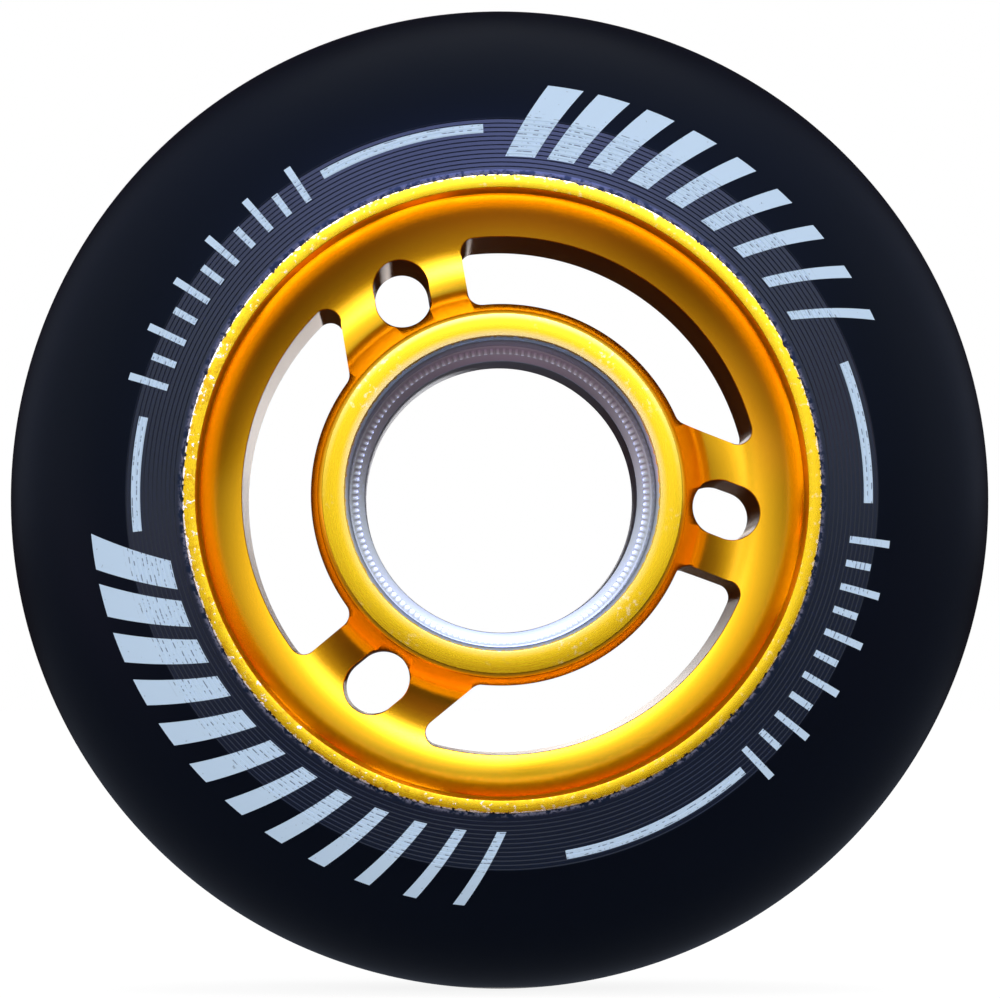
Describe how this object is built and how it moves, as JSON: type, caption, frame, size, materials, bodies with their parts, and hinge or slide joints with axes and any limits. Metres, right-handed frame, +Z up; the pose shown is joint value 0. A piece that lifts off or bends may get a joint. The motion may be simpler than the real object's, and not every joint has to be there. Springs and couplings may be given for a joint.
{
  "type": "inline skate wheel",
  "caption": "Inline skate wheel: rounded cast polyurethane tyre on a gold anodised aluminium core with swept spokes, arc windows and a bearing seat in each face.",
  "frame": {"origin": "centre of the wheel, on the spin axis at the middle plane", "axes": "+Y along the spin axis, away from the pictured face; +Z up; +X to the right of that face"},
  "size_m": [0.072, 0.024, 0.072],
  "materials": {
    "core": "gold anodised, turned and milled, bare metal in the bore",
    "tyre": "satin cast polyurethane, turned in a band round each side"
  },
  "bodies": {
    "root": {"core": "core", "tyre": "tyre"}
  },
  "joints": []
}
